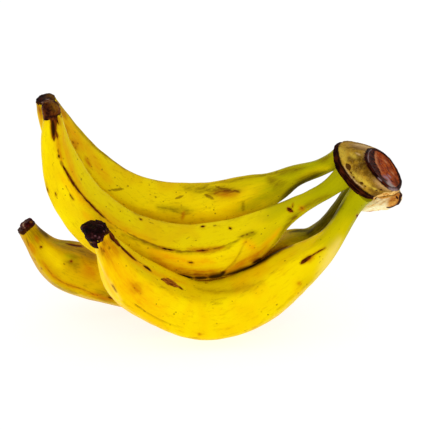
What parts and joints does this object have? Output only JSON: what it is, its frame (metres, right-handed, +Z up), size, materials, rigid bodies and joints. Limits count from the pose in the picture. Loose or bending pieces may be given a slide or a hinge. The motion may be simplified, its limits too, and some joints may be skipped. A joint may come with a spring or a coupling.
{
  "type": "plantain hand",
  "caption": "Hand of ripe plantains joined at one crown, lying on its side on the bellies of its two lower fruits.",
  "frame": {"origin": "on the surface that the hand lies on, under the middle of its bounding box", "axes": "+Z up, +X along the fruits from the blossom ends to the crown, +Y across them to the far side"},
  "size_m": [0.3254, 0.125, 0.1998],
  "materials": {
    "ripe_skin": "waxy ripe peel, green at the stalks, with bruised ridges and specks",
    "crown_skin": "olive-brown skin with a dark bract scar, semi-matte",
    "dried_blossom": "dried, black-brown and crusty",
    "cut_fibre": "dried fibrous cut face in a dark ring",
    "torn_flesh": "pale torn flesh, browned at one end"
  },
  "bodies": {
    "root": {"crown": "crown_skin", "finger_upper": "ripe_skin", "finger_middle": "ripe_skin", "finger_front": "ripe_skin", "finger_back": "ripe_skin", "blossom_end_upper": "dried_blossom", "blossom_end_middle": "dried_blossom", "blossom_end_front": "dried_blossom", "blossom_end_back": "dried_blossom"}
  },
  "joints": []
}
